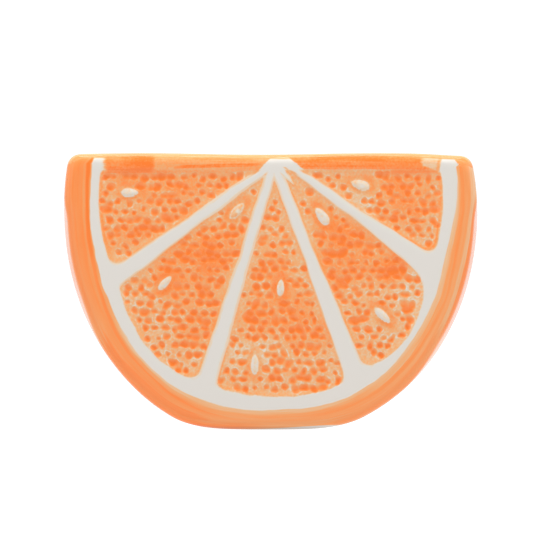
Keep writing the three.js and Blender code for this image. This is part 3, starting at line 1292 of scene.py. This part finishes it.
@dataclass(frozen=True)
class PulpBrush:
    """How the paint lies in the segments: the wash, the pits' dots and the margin round them."""

    pool_reach: float = 1.7
    cloud: Clouds = Clouds(120.0, 3.0, 0.6)
    grain: Clouds = Clouds(1100.0, 2.0, 0.6)
    heavy_cloud: Ramp = Ramp(0.3, 0.7, 0.7, 1.1)
    wash: Ramp = Ramp(0.3, 0.75, 0.36, 0.46)
    wash_grain: float = 0.6
    halo_outside: Ramp = Ramp(-0.5, -0.1)
    halo_inside: Ramp = Ramp(0.25, -0.05)
    fleck_clouds: Clouds = Clouds(520.0)
    flecks: Ramp = Ramp(0.42, 0.66, 0.04, 0.28)
    dot_load: float = 0.8
    dot_shades: float = 0.26
    # Lighter paint in each pit's upper half and heavier in its lower half: partly glaze run, partly painted
    # sheen on the upper half.
    dot_run_and_sheen: float = -0.14
    dot_heavy: float = 0.4
    dot_clouds: Clouds = Clouds(620.0)
    dot_clouds_load: float = 0.5
    dot_middle: Ramp = Ramp(0.3, 1.1, 0.0, 0.1)
    dot_edge: Ramp = Ramp(-0.35, 0.75)
    hairs: Hairs = Hairs(2.2, 0.04)
    margin_hairs: Ramp = Ramp(0.0, 1.0, 0.0, 0.24)
    margin_heavy: float = 0.36
    outline_outside: Ramp = Ramp(0.4, 0.9)
    outline_inside: Ramp = Ramp(1.5, 1.0)
    outline_load: float = 0.1
    # Heavier paint just below the strip: paint pooled at the step, and painted shade under it.
    under_strip_shade: Ramp = Ramp(-2.8, -0.9, 0.0, 0.38)
    margin_edge: Ramp = Ramp(0.45, 1.1)
    pooled_load: float = 0.34
    dabs: Clouds = Clouds(380.0, 2.0, 0.55)
    ragged: tuple[float, float] = (0.6, 2.2)
    soft: float = 0.35


@dataclass(frozen=True)
class SeedBrush:
    """How little paint the seeds took."""

    grain: Clouds = Clouds(700.0, 2.0, 0.6)
    bare: Ramp = Ramp(0.4, 0.75, 0.04, 0.22)
    pooled_load: float = 0.75
    edge: Ramp = Ramp(-0.2, 0.2)


@dataclass(frozen=True)
class FootBrush:
    """The paint near the foot: heavier low at the left, partly painted contact shade, bare at the rim, and
    painted contact shade along the bottom.
    """

    # Heavier paint low at the left: partly paint, partly painted contact shade where the foot meets the
    # floor.
    low: Ramp = Ramp(3.2, 0.7, 0.0, 0.32)
    left: Ramp = Ramp(2.0, -16.0)
    bare_up_to: Ramp = Ramp(-8.0, 24.0, 0.2, 1.7)
    bare_edge: Ramp = Ramp(-0.15, 0.15)
    # Painted contact shade: a dark brown mixed in over the lowest millimetres, where the foot meets the
    # floor.
    contact_shade: Ramp = Ramp(1.7, 0.4, 0.0, 0.42)


@dataclass(frozen=True)
class Spot:
    """Where the paint is on the piece, as sockets: the place in metres and its parts in millimetres.

    Its side keeps the brush lines of the front, the wall and the back apart.
    """

    place: Socket
    x_mm: Socket
    side: Socket
    z_mm: Socket


@dataclass(frozen=True)
class PaintedGlaze:
    """Orange paint in brush strokes over cream white ceramic, under one clear, wet-looking glaze."""

    roughness: float = 0.14
    ior: float = 1.5
    rind_load: float = 0.61
    # Start, end, low, high, load, cover, soft ends, soft sides, ragged, slant.
    rind_strokes: tuple[Stroke, ...] = (
        Stroke(-20, 46, 2.4, 60, 0.74, 0.9, 10, 1.5, 4),
        Stroke(-14, 20, 3.6, 5.6, 0.8, 0.6, 8, 1.1, 4),
        Stroke(38, 150, -0.8, 1.8, 0.34, 0.9, 14, 1.1, 6),
        Stroke(108, 180, -0.8, 5.4, 0.31, 0.85, 12, 1.2, 6, rise=-0.02),
        Stroke(-16, 34, 0.2, 2.2, 1, 1, 8, 0.7, 5),
        Stroke(22, 82, -0.6, 1.2, 0.86, 0.8, 10, 0.8, 5, rise=0.043),
        Stroke(74, 110, 3.6, 60, 0.54, 0.75, 7, 1.4, 5),
        Stroke(44, 77, 4.8, 60, 0.84, 0.85, 4, 1.4, 6),
        Stroke(94, 154, 0.2, 1.7, 0.8, 0.75, 12, 0.9, 5, rise=0.021),
        Stroke(146, 186, 15.2, 17, 0.78, 0.8, 6, 0.9, 4, rise=-0.08),
        Stroke(132, 190, 5.9, 60, 0.3, 0.8, 8, 1.2, 4),
        Stroke(132, 172, 8.9, 60, 0.86, 0.9, 6, 0.8, 4),
        Stroke(102, 134, 5, 60, 0.66, 0.9, 5, 1.0, 9),
    )
    # The same, with the rise after the slant.
    strip_strokes: tuple[Stroke, ...] = (
        Stroke(-61.3, -38, -0.3, 60, 0.42, 1, 2.4, 0.5, 0.6, 0.25),
        Stroke(-46, -3.2, -1.2, 60, 0.52, 1, 0.9, 0.5, 0.6, 0.75),
        Stroke(-32, -6, 2.7, 60, 0.62, 0.8, 5, 0.7, 9, 0.75),
        Stroke(-36, -3.4, 0.9, 2.5, 0.88, 1, 5, 0.45, 0.6, 0.75, 0.03),
        Stroke(-60.6, -41, -1.8, 60, 0.92, 0.95, 2.4, 0.6, 0.5),
        Stroke(-61, -50, 0.4, 60, 0.62, 0.85, 5, 1, 2),
        Stroke(-50, -41, -1.8, 60, 1.05, 0.8, 4, 1.2, 2),
        Stroke(10.8, 66, -1.2, 60, 0.28, 1, 0.8, 0.5, 0.3, -1),
        Stroke(11, 64, -0.5, 60, 0.78, 1, 0.9, 0.5, 0.3, -1),
        Stroke(18, 46, 1, 2.8, 0.64, 0.5, 8, 0.9, 8),
        Stroke(12, 43, 2.6, 60, 1, 0.9, 5, 0.8, 3),
        Stroke(53.5, 66, 19.2, 90, 0.26, 0.95, 1.5, 0.8, 1.5, rise=-0.34),
        Stroke(13, 58, 0.8, 2.5, 0.9, 0.7, 3, 0.7, 3, rise=-0.03),
        Stroke(59.2, 60.8, -4, 60, 0.6, 0.7, 0.7, 0.6, 0.4, 0.15),
        Stroke(60.6, 72, -3, 5, 0, 1, 0.4, 0.5, 0.2, 0.15),
        Stroke(4.6, 6.6, -0.8, 0.9, 0.34, 0.9, 0.8, 0.5, 0.2, -1.2),
    )
    # X, z, reach across, reach up, load.
    pools: tuple[Pool, ...] = (
        Pool(-48, 92, 11, 4, 0.26),
        Pool(-24, 89, 15, 5, 0.18),
        Pool(-52, 72, 10, 8, 0.2),
        Pool(-38, 82, 12, 8, 0.14),
        Pool(-29, 57, 13, 13, 0.26),
        Pool(-20, 65, 11, 9, 0.22),
        Pool(-27, 39, 9, 8, 0.14),
        Pool(2, 58, 6, 9, 0.2),
        Pool(4, 43, 12, 9, 0.24),
        Pool(13, 35, 10, 7, 0.22),
        Pool(-7, 37, 6, 6, 0.14),
        Pool(-5, 27, 12, 6, -0.15),
        Pool(25, 71, 9, 6, 0.26),
        Pool(30, 61, 16, 10, 0.24),
        Pool(45, 58, 5, 6, 0.3),
        Pool(51, 49, 7, 12, -0.15),
        Pool(49, 86, 11, 14, 0.26),
        Pool(36, 83, 9, 6, -0.1),
    )
    # Load, then red, green and blue on the screen.
    colours: tuple[tuple[float, float, float, float], ...] = (
        (0.0, 224, 219, 212),
        (0.15, 231, 210, 184),
        (0.3, 236, 191, 148),
        (0.45, 242, 173, 115),
        (0.62, 249, 156, 90),
        (0.8, 254, 141, 69),
        (1.0, 253, 127, 48),
    )
    # Dark brown of the painted contact shade along the foot's bottom edge.
    contact_shade_colour: tuple[float, float, float] = (150, 110, 84)
    rind: RindBrush = RindBrush()
    strip: StripBrush = StripBrush()
    pulp: PulpBrush = PulpBrush()
    seed: SeedBrush = SeedBrush()
    foot: FootBrush = FootBrush()
    side_step: float = 0.3
    gloss: Clouds = Clouds(60.0)
    gloss_range: tuple[float, float] = (0.3, 0.7)
    gloss_spread: float = 0.05
    waviness: Clouds = Clouds(140.0, 1.0, 0.4)
    wave_strength: float = 0.35
    wave_height: float = 0.07 * MM

    def material(self, groups: BrushGroups) -> bpy.types.Material:
        """Builds the material.

        Args:
            groups: The shared node groups.

        Returns:
            The finished material.
        """
        material = bpy.data.materials.new("painted glaze")
        material.use_nodes = True
        material.node_tree.nodes.clear()
        sheet = Sheet(material.node_tree)
        place = sheet.place()
        split = sheet.add("ShaderNodeSeparateXYZ", {0: place})
        x_mm = sheet.times(split.outputs[0], 1 / MM)
        side = sheet.times(split.outputs[1], self.side_step / MM)
        spot = Spot(place, x_mm, side, sheet.times(split.outputs[2], 1 / MM))
        colour = self.colour(sheet, self.whole_load(sheet, groups, spot), spot)
        normal = self.surface(sheet, spot)
        gloss = Ramp(*self.gloss_range, self.roughness, self.roughness + self.gloss_spread)
        shader = sheet.add(
            "ShaderNodeBsdfPrincipled",
            {
                "Base Color": colour,
                "Roughness": sheet.rise(sheet.noise(place, self.gloss), gloss),
                "IOR": self.ior,
                "Normal": normal,
            },
        )
        sheet.add("ShaderNodeOutputMaterial", {"Surface": shader.outputs[0]})
        return material

    def colour(self, sheet: Sheet, load: Socket, spot: Spot) -> Socket:
        """Turns the load of paint into its colour over the white ceramic, with painted contact shade at the
        foot's rim.

        Args:
            sheet: The sheet to draw on.
            load: The load of paint.
            spot: Where it is.

        Returns:
            The colour.
        """
        ramp = sheet.add("ShaderNodeValToRGB", {0: load})
        stops = ramp.color_ramp.elements
        for position, red, green, blue in self.colours[1:-1]:
            stops.new(position).color = srgb(red, green, blue)
        stops[0].color = srgb(*self.colours[0][1:])
        stops[-1].color = srgb(*self.colours[-1][1:])
        # Painted contact shade: the colour turns to dark brown towards the bottom edge.
        contact_shade = sheet.rise(spot.z_mm, self.foot.contact_shade)
        inputs = {0: contact_shade, 6: ramp.outputs[0], 7: srgb(*self.contact_shade_colour)}
        return sheet.add("ShaderNodeMix", inputs, data_type="RGBA").outputs[2]

    @staticmethod
    def brush_lines(
        sheet: Sheet, groups: BrushGroups, hairs: Hairs, run: Socket, across: Socket, side: Socket
    ) -> Socket:
        """Draws the lines that a brush's hairs leave.

        Args:
            sheet: The sheet to draw on.
            groups: The shared node groups.
            hairs: The brush's hairs.
            run: Coordinate along the lines.
            across: Coordinate across them.
            side: Keeps the lines of front, wall and back apart.

        Returns:
            The lines, from 0 to 1.
        """
        fineness, stretch = hairs.fineness, hairs.stretch
        return sheet.use(
            groups.lines, Run=run, Across=across, Layer=side, Fineness=fineness, Stretch=stretch
        )

    @staticmethod
    def lay(
        sheet: Sheet,
        groups: BrushGroups,
        load: Value,
        strokes: Iterable[Stroke],
        run: Socket,
        across: Socket,
        hairs: Socket,
    ) -> Value:
        """Lays strokes one over the other.

        Args:
            sheet: The sheet to draw on.
            groups: The shared node groups.
            load: The load of paint before them.
            strokes: The strokes, the lowest first.
            run: Coordinate along the strokes.
            across: Coordinate across them.
            hairs: Brush lines that break their ends up.

        Returns:
            The load after them.
        """
        for stroke in strokes:
            leaning = sheet.minus(run, sheet.times(across, stroke.slant)) if stroke.slant else run
            rising = sheet.minus(across, sheet.times(run, stroke.rise)) if stroke.rise else across
            mask = sheet.use(
                groups.stroke,
                Run=leaning,
                Across=rising,
                Start=stroke.start,
                End=stroke.end,
                Low=stroke.low,
                High=stroke.high,
                Soft_Ends=stroke.soft_ends,
                Soft_Sides=stroke.soft_sides,
                Hairs=hairs,
                Ragged=stroke.ragged,
            )
            load = sheet.blend(load, stroke.load, sheet.times(mask, stroke.cover))
        return load

    def rind_paint(self, sheet: Sheet, groups: BrushGroups, spot: Spot) -> tuple[Socket, Socket]:
        """Paints the rind.

        Args:
            sheet: The sheet to draw on.
            groups: The shared node groups.
            spot: Where the paint is.

        Returns:
            The load of paint on the rind, and the mask of where the rind is painted.
        """
        brush = self.rind
        turn = sheet.measure("rind_turn")
        depth = sheet.measure("rind_mm")
        hairs = self.brush_lines(sheet, groups, brush.hairs, turn, depth, spot.side)
        wide = self.brush_lines(sheet, groups, brush.wide, turn, depth, spot.side)
        load = self.lay(sheet, groups, self.rind_load, self.rind_strokes, turn, depth, hairs)
        load = sheet.plus(load, sheet.swing(hairs, brush.hairs_load))
        load = sheet.plus(load, sheet.swing(wide, brush.wide_load))
        wavy = sheet.blend(wide, sheet.noise(spot.place, brush.waves), brush.waves_share)
        turned_over = sheet.rise(sheet.measure("top_mm"), brush.turned_over)
        inside = sheet.minus(depth, sheet.times(turned_over, sheet.rise(spot.x_mm, brush.turned_beyond)))
        mask = sheet.use(groups.edge, Inside=inside, Ragged=brush.ragged, Soft=brush.soft, Hairs=wavy)
        return load, mask

    def strip_paint(self, sheet: Sheet, groups: BrushGroups, spot: Spot) -> tuple[Socket, Socket, Socket]:
        """Paints the strip and the top.

        Args:
            sheet: The sheet to draw on.
            groups: The shared node groups.
            spot: Where the paint is.

        Returns:
            The load of paint there, the mask of the strip and the mask of the top.
        """
        brush = self.strip
        height = sheet.measure("top_mm")
        hairs = self.brush_lines(sheet, groups, brush.hairs, spot.x_mm, height, spot.side)
        load = self.lay(sheet, groups, 0.0, self.strip_strokes, spot.x_mm, height, hairs)
        grain = sheet.minus(sheet.noise(spot.place, brush.grain), 0.5)
        uneven = sheet.plus(sheet.swing(hairs, brush.hairs_share), grain)
        load = sheet.plus(load, sheet.times(uneven, load))
        lines = sheet.minus(hairs, 0.5)
        top = sheet.rise(sheet.plus(height, lines), brush.top_edge)
        # The top's load, paler over the edge's rounding as a painted highlight.
        top_with_edge_highlight = sheet.plus(sheet.rise(height, brush.top_load_and_edge_highlight), sheet.rise(height, brush.top_back))
        top_with_edge_highlight = sheet.plus(top_with_edge_highlight, sheet.times(lines, brush.top_hairs))
        load = sheet.blend(load, sheet.math("MAXIMUM", load, top_with_edge_highlight), top)
        load = sheet.blend(load, top_with_edge_highlight, sheet.rise(height, brush.over_edge))
        return load, sheet.rise(height, brush.lower_edge), top

    def heaviness(self, sheet: Sheet, spot: Spot) -> Value:
        """Finds how much more heavily than elsewhere the pulp is painted.

        Args:
            sheet: The sheet to draw on.
            spot: Where the paint is.

        Returns:
            The load that all pools add.
        """
        heavy = 0.0
        for pool in self.pools:
            dx = sheet.times(sheet.minus(spot.x_mm, pool.x), 1 / pool.reach_x)
            dz = sheet.times(sheet.minus(spot.z_mm, pool.z), 1 / pool.reach_z)
            far = sheet.plus(sheet.times(dx, dx), sheet.times(dz, dz))
            heavy = sheet.plus(heavy, sheet.rise(far, Ramp(self.pulp.pool_reach, 0.0, 0.0, pool.load)))
        return heavy

    def pitted(self, sheet: Sheet, spot: Spot, pit: Socket, heavy: Value) -> tuple[Socket, Socket]:
        """Paints the pits' dots and the pale network between them.

        Args:
            sheet: The sheet to draw on.
            spot: Where the paint is.
            pit: How far each point lies inside a pit's edge.
            heavy: The load that all pools add.

        Returns:
            The load of paint, and the pools' load broken up by clouds.
        """
        brush = self.pulp
        cloud = sheet.noise(spot.place, brush.cloud)
        grain = sheet.noise(spot.place, brush.grain)
        heavy = sheet.times(heavy, sheet.rise(cloud, brush.heavy_cloud))
        wash = sheet.plus(sheet.rise(cloud, brush.wash), sheet.swing(grain, brush.wash_grain))
        halo = sheet.times(sheet.rise(pit, brush.halo_outside), sheet.rise(pit, brush.halo_inside))
        flecks = sheet.rise(sheet.noise(spot.place, brush.fleck_clouds), brush.flecks)
        network = sheet.plus(sheet.minus(wash, sheet.times(halo, flecks)), heavy)
        shade = sheet.swing(sheet.measure("pit_shade"), brush.dot_shades)
        # Paint lighter in each pit's upper half, heavier below: partly glaze run, partly painted sheen.
        pit_run_and_sheen = sheet.times(sheet.measure("pit_rise"), brush.dot_run_and_sheen)
        dot = sheet.plus(brush.dot_load, shade)
        dot = sheet.plus(dot, sheet.plus(pit_run_and_sheen, sheet.times(heavy, brush.dot_heavy)))
        spots = sheet.noise(spot.place, brush.dot_clouds)
        dot = sheet.plus(dot, sheet.swing(spots, brush.dot_clouds_load))
        dot = sheet.plus(dot, sheet.rise(pit, brush.dot_middle))
        return sheet.blend(network, dot, sheet.rise(pit, brush.dot_edge)), heavy

    def pulp_paint(self, sheet: Sheet, groups: BrushGroups, spot: Spot) -> tuple[Socket, Socket]:
        """Paints the segments.

        Args:
            sheet: The sheet to draw on.
            groups: The shared node groups.
            spot: Where the paint is.

        Returns:
            The load of paint in the segments, and the mask of where they are painted.
        """
        brush = self.pulp
        inside = sheet.measure("segment_mm")
        pit = sheet.measure("pit_mm")
        load, heavy = self.pitted(sheet, spot, pit, self.heaviness(sheet, spot))
        lines = self.brush_lines(sheet, groups, brush.hairs, spot.x_mm, inside, spot.side)
        margin = sheet.plus(sheet.rise(lines, brush.margin_hairs), sheet.times(heavy, brush.margin_heavy))
        outline = sheet.times(
            sheet.rise(inside, brush.outline_outside), sheet.rise(inside, brush.outline_inside)
        )
        margin = sheet.plus(margin, sheet.times(outline, brush.outline_load))
        # Heavier paint just below the strip: pooled paint and painted shade under the step.
        margin = sheet.plus(margin, sheet.rise(sheet.measure("top_mm"), brush.under_strip_shade))
        load = sheet.blend(margin, load, sheet.rise(sheet.measure("pulp_mm"), brush.margin_edge))
        load = sheet.plus(load, sheet.times(sheet.measure("pooled"), brush.pooled_load))
        dabs = sheet.noise(spot.place, brush.dabs)
        ragged = sheet.blend(*brush.ragged, sheet.measure("ragged"))
        mask = sheet.use(groups.edge, Inside=inside, Ragged=ragged, Soft=brush.soft, Hairs=dabs)
        return load, mask

    def seed_paint(self, sheet: Sheet, spot: Spot, load: Socket) -> Socket:
        """Leaves the seeds nearly bare.

        Args:
            sheet: The sheet to draw on.
            spot: Where the paint is.
            load: The load of paint in the segments.

        Returns:
            The load with the seeds in it.
        """
        brush = self.seed
        seed = sheet.measure("seed_mm")
        bare = sheet.rise(sheet.noise(spot.place, brush.grain), brush.bare)
        bare = sheet.plus(bare, sheet.times(sheet.measure("pooled"), brush.pooled_load))
        return sheet.blend(load, bare, sheet.rise(seed, brush.edge))

    def whole_load(self, sheet: Sheet, groups: BrushGroups, spot: Spot) -> Socket:
        """Puts rind, strip, pulp and seeds together into one load of paint.

        Args:
            sheet: The sheet to draw on.
            groups: The shared node groups.
            spot: Where the paint is.

        Returns:
            The load, from 0 to 1.
        """
        pulp, pulp_mask = self.pulp_paint(sheet, groups, spot)
        pulp = self.seed_paint(sheet, spot, pulp)
        rind, rind_mask = self.rind_paint(sheet, groups, spot)
        strip, strip_mask, top = self.strip_paint(sheet, groups, spot)
        load = sheet.times(pulp, pulp_mask)
        load = sheet.blend(load, sheet.math("MAXIMUM", load, strip), strip_mask)
        load = sheet.blend(load, rind, rind_mask)
        load = sheet.blend(load, strip, top)
        # Heavier paint low at the left of the foot, partly painted contact shade.
        foot_paint_and_shade = sheet.times(sheet.rise(spot.z_mm, self.foot.low), sheet.rise(spot.x_mm, self.foot.left))
        load = sheet.plus(load, foot_paint_and_shade)
        bared = sheet.rise(spot.x_mm, self.foot.bare_up_to)
        foot = sheet.rise(sheet.minus(spot.z_mm, bared), self.foot.bare_edge)
        return sheet.math("MULTIPLY", load, foot, clamp=True)

    def surface(self, sheet: Sheet, spot: Spot) -> Socket:
        """Gives the glaze its faint waviness.

        Args:
            sheet: The sheet to draw on.
            spot: Where the glaze is.

        Returns:
            The surface's normal.
        """
        slow = sheet.noise(spot.place, self.waviness)
        inputs = {"Strength": self.wave_strength, "Distance": self.wave_height, "Height": slow}
        return sheet.add("ShaderNodeBump", inputs).outputs[0]


@dataclass(frozen=True)
class Lamp:
    """A rectangle of light, aimed at the piece: its place, its width and depth, and its power.

    Where it isn't mirrored, it lights the piece but doesn't shine in the glaze.
    """

    name: str
    place: tuple[float, float, float]
    size: tuple[float, float]
    watts: float
    mirrored: bool = True

    def hang(self, aim: Vector) -> None:
        """Hangs the lamp.

        Args:
            aim: The point that it shines at.
        """
        light = bpy.data.lights.new(self.name, "AREA")
        light.shape = "RECTANGLE"
        light.size, light.size_y = self.size
        light.energy = self.watts
        box = bpy.data.objects.new(self.name, light)
        bpy.context.scene.collection.objects.link(box)
        box.location = self.place
        box.rotation_euler = (aim - Vector(self.place)).to_track_quat("-Z", "Y").to_euler()
        box.visible_glossy = self.mirrored


@dataclass(frozen=True)
class Sky:
    """The white room round the piece: its strength all round, and where it is weaker or stronger.

    It is weaker in front and overhead and stronger at the sides, and the camera sees the backdrop.
    """

    all_round: float = 0.98
    front: float = 0.32
    side: float = 1.24
    overhead: float = 0.3
    backdrop: float = 1.1
    front_edge: Ramp = Ramp(-0.1, -0.5)
    front_top: Ramp = Ramp(0.95, 0.8)
    side_edge: Ramp = Ramp(0.5, 0.75)
    side_end: Ramp = Ramp(0.1, -0.1)
    overhead_edge: Ramp = Ramp(0.55, 0.85)

    def surround(self) -> None:
        """Surrounds the piece with the white room."""
        world = bpy.data.worlds.new("studio")
        bpy.context.scene.world = world
        world.use_nodes = True
        world.node_tree.nodes.clear()
        sheet = Sheet(world.node_tree)
        look = sheet.add("ShaderNodeTexCoord").outputs["Generated"]
        across, through, up = sheet.add("ShaderNodeSeparateXYZ", {0: look}).outputs
        front = sheet.rise(through, self.front_edge)
        low = sheet.rise(up, self.front_top)
        strength = sheet.blend(self.all_round, self.front, sheet.times(front, low))
        beside = sheet.rise(sheet.math("ABSOLUTE", across), self.side_edge)
        ahead = sheet.rise(through, self.side_end)
        strength = sheet.blend(strength, self.side, sheet.times(beside, ahead))
        strength = sheet.blend(strength, self.overhead, sheet.rise(up, self.overhead_edge))
        seen = sheet.add("ShaderNodeLightPath").outputs["Is Camera Ray"]
        strength = sheet.blend(strength, self.backdrop, seen)
        background = sheet.add("ShaderNodeBackground", {"Color": WHITE, "Strength": strength})
        sheet.add("ShaderNodeOutputWorld", {"Surface": background.outputs[0]})


@dataclass(frozen=True)
class Studio:
    """A plain white sweep lit from below and behind, two lamps overhead and a camera in front.

    The wide softbox lights the piece without being mirrored in the glaze. The narrow rim light
    gives the highlight along the top edge.
    """

    lens: float = 464.0
    nearest_seen: float = 0.01
    camera_distance: float = 2.4957
    aim_x: float = -1.562 * MM
    aim_z: float = 58.7 * MM
    floor_size: float = 12.0
    floor_grey: float = 0.15
    floor_roughness: float = 0.7
    floor_white: float = 0.98
    floor_glow: float = 0.8
    sky: Sky = Sky()
    lamps: tuple[Lamp, ...] = (
        Lamp("softbox", (0.0, -0.17, 0.75), (0.5, 0.55), 5.3, mirrored=False),
        Lamp("rim light", (0.0, 0.03, 0.75), (0.5, 0.15), 1.25),
    )

    def build(self) -> None:
        """Sets floor, light and camera."""
        self.add_floor()
        self.sky.surround()
        for lamp in self.lamps:
            lamp.hang(Vector((0, 0, self.aim_z)))
        self.add_camera()
        bpy.context.scene.view_settings.view_transform = "Standard"

    def add_floor(self) -> None:
        """Adds the plain pale floor, lit through from below and burnt out to white in the view."""
        bpy.ops.object.select_all(action="DESELECT")
        bpy.ops.mesh.primitive_plane_add(size=self.floor_size)
        floor = bpy.context.active_object
        floor.name = "floor"
        material = bpy.data.materials.new("pale floor")
        material.use_nodes = True
        sheet = Sheet(material.node_tree)
        inputs = material.node_tree.nodes["Principled BSDF"].inputs
        inputs["Base Color"].default_value = (self.floor_grey, self.floor_grey, self.floor_grey, 1)
        inputs["Roughness"].default_value = self.floor_roughness
        inputs["Emission Color"].default_value = WHITE
        seen = sheet.add("ShaderNodeLightPath").outputs["Is Camera Ray"]
        glow = sheet.blend(self.floor_glow, self.floor_white, seen)
        sheet.feed(inputs["Emission Strength"], glow)
        floor.data.materials.append(material)
        floor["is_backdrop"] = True

    def add_camera(self) -> None:
        """Puts the camera level with the middle of the view, in front of the piece."""
        camera = bpy.data.cameras.new("camera")
        camera.lens = self.lens
        camera.clip_start = self.nearest_seen
        stand = bpy.data.objects.new("camera", camera)
        bpy.context.scene.collection.objects.link(stand)
        back = Vector((0.0, -1.0, 0.0))
        stand.location = Vector((self.aim_x, 0.0, self.aim_z)) + back * self.camera_distance
        stand.rotation_euler = (-back).to_track_quat("-Z", "Y").to_euler()
        bpy.context.scene.camera = stand


def main() -> None:
    """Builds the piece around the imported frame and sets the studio."""
    logging.basicConfig(level=logging.INFO, format="%(name)s: %(message)s")
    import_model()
    low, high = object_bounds()
    size = high - low
    form = BodyForm(width=size.x, depth=size.y, height=size.z)
    face = CutFace()
    piece = GlazedSlice(form, face, PitField(face)).build()
    piece.data.materials.append(PaintedGlaze().material(BrushGroups()))
    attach(piece, BODY)
    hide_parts(NODE)
    triangles = sum(len(polygon.vertices) - 2 for polygon in piece.data.polygons)
    LOG.info("painted slice: %d triangles", triangles)
    Studio().build()
    LOG.info("studio: floor, light and camera")
    low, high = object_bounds()


if __name__ == "__main__":
    main()
